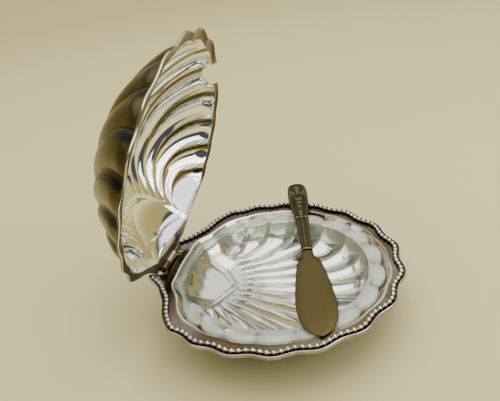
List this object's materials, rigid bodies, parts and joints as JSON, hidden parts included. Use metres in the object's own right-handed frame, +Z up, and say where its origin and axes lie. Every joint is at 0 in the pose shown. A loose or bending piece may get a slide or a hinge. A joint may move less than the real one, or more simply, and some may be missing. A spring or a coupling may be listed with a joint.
{
  "type": "caviar dish",
  "caption": "Shell-shaped footed dish in silver plate with a beaded rim, a pressed glass liner, a hinged fluted lid standing open and a spreading knife laid across.",
  "frame": {"origin": "below the middle of the bounding box, on the surface that the feet stand on", "axes": "+X from the hinge to the tip of the fan of lobes, +Y along the hinge towards the side where the knife's handle rests, +Z up"},
  "size_m": [0.1736, 0.1798, 0.1798],
  "materials": {
    "silver_plate": "polished, with a warm tarnish",
    "tarnished_plate": "tarnished in the hollows",
    "worn_brass": "plate worn through to the brass",
    "blade_steel": "satin",
    "pressed_glass": "clear, slightly green"
  },
  "bodies": {
    "base": {"base_dish": "silver_plate", "bead_border": "tarnished_plate", "foot_front": "silver_plate", "foot_rear_near": "silver_plate", "foot_rear_far": "silver_plate", "base_hinge_leaf": "tarnished_plate", "base_knuckle": "tarnished_plate", "hinge_pin": "blade_steel"},
    "lid": {"lid_shell": "silver_plate", "lid_hinge_leaf": "tarnished_plate", "lid_knuckle_near": "worn_brass", "lid_knuckle_far": "worn_brass"},
    "knife": {"knife_handle": "silver_plate", "knife_blade": "blade_steel"},
    "liner": {"glass_liner": "pressed_glass"}
  },
  "joints": [
    {"name": "lid_hinge", "type": "hinge", "parent": "base", "child": "lid", "pos_m": [-0.06445, -0.01017, 0.0338], "axis": [0, 1, 0], "range_deg": [0, 75]},
    {"name": "knife_swing", "type": "hinge", "parent": "base", "child": "knife", "pos_m": [0.04461, -0.07079, 0.0316], "axis": [0, 0, 1], "range_deg": [-13.4, 0]},
    {"name": "liner_lift", "type": "slide", "parent": "base", "child": "liner", "axis": [0, 0, 1], "range_m": [0, 0.001]}
  ],
  "couplings": [
    {"joint": "knife_swing", "follows": "lid_hinge", "ratio": -0.178}
  ]
}
